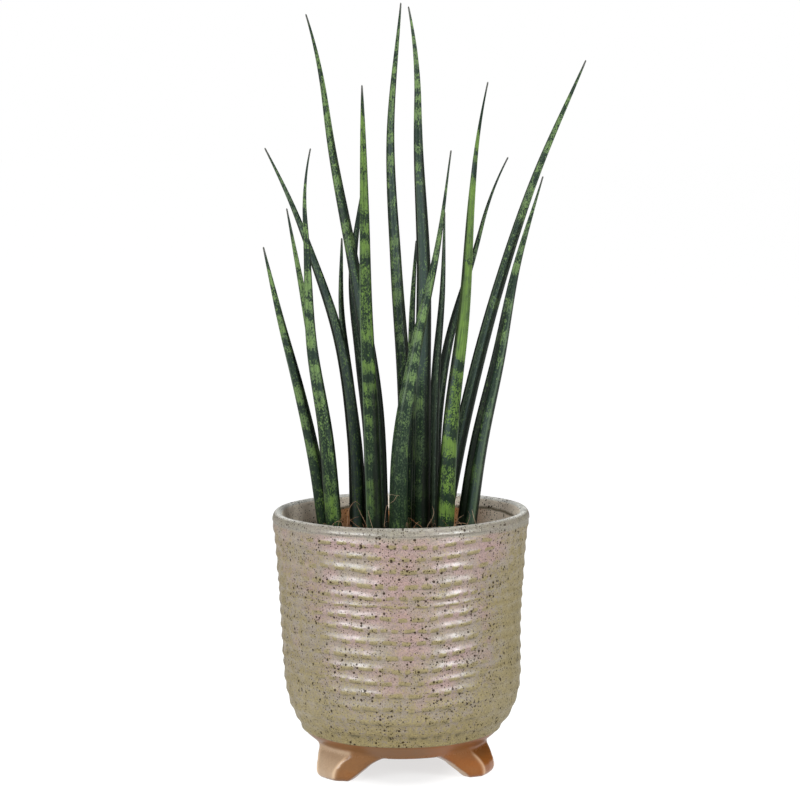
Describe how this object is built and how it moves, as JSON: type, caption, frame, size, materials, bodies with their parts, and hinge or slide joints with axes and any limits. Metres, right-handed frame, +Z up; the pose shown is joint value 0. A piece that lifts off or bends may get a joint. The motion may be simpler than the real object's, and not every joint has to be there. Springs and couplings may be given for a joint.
{
  "type": "potted cylindrical snake plant",
  "caption": "Cylindrical snake plant: slender pointed round leaves standing in coir soil in a ridged, speckled stoneware pot on short feet.",
  "frame": {"origin": "on the ground, under the middle of the whole plant's bounding box", "axes": "+Z up along the leaves, -Y towards the side that faces the viewer, +X to that viewer's right"},
  "size_m": [0.2028, 0.161, 0.4811],
  "materials": {
    "glaze": "gloss",
    "soil": "matte",
    "leaf": "satin"
  },
  "bodies": {
    "root": {"pot": "glaze", "soil": "soil", "leaf_01": "leaf", "leaf_02": "leaf", "leaf_03": "leaf", "leaf_04": "leaf", "leaf_05": "leaf", "leaf_06": "leaf", "leaf_07": "leaf", "leaf_08": "leaf", "leaf_09": "leaf", "leaf_10": "leaf", "leaf_11": "leaf", "leaf_12": "leaf", "leaf_13": "leaf", "leaf_14": "leaf", "leaf_15": "leaf", "leaf_16": "leaf", "leaf_17": "leaf"}
  },
  "joints": []
}
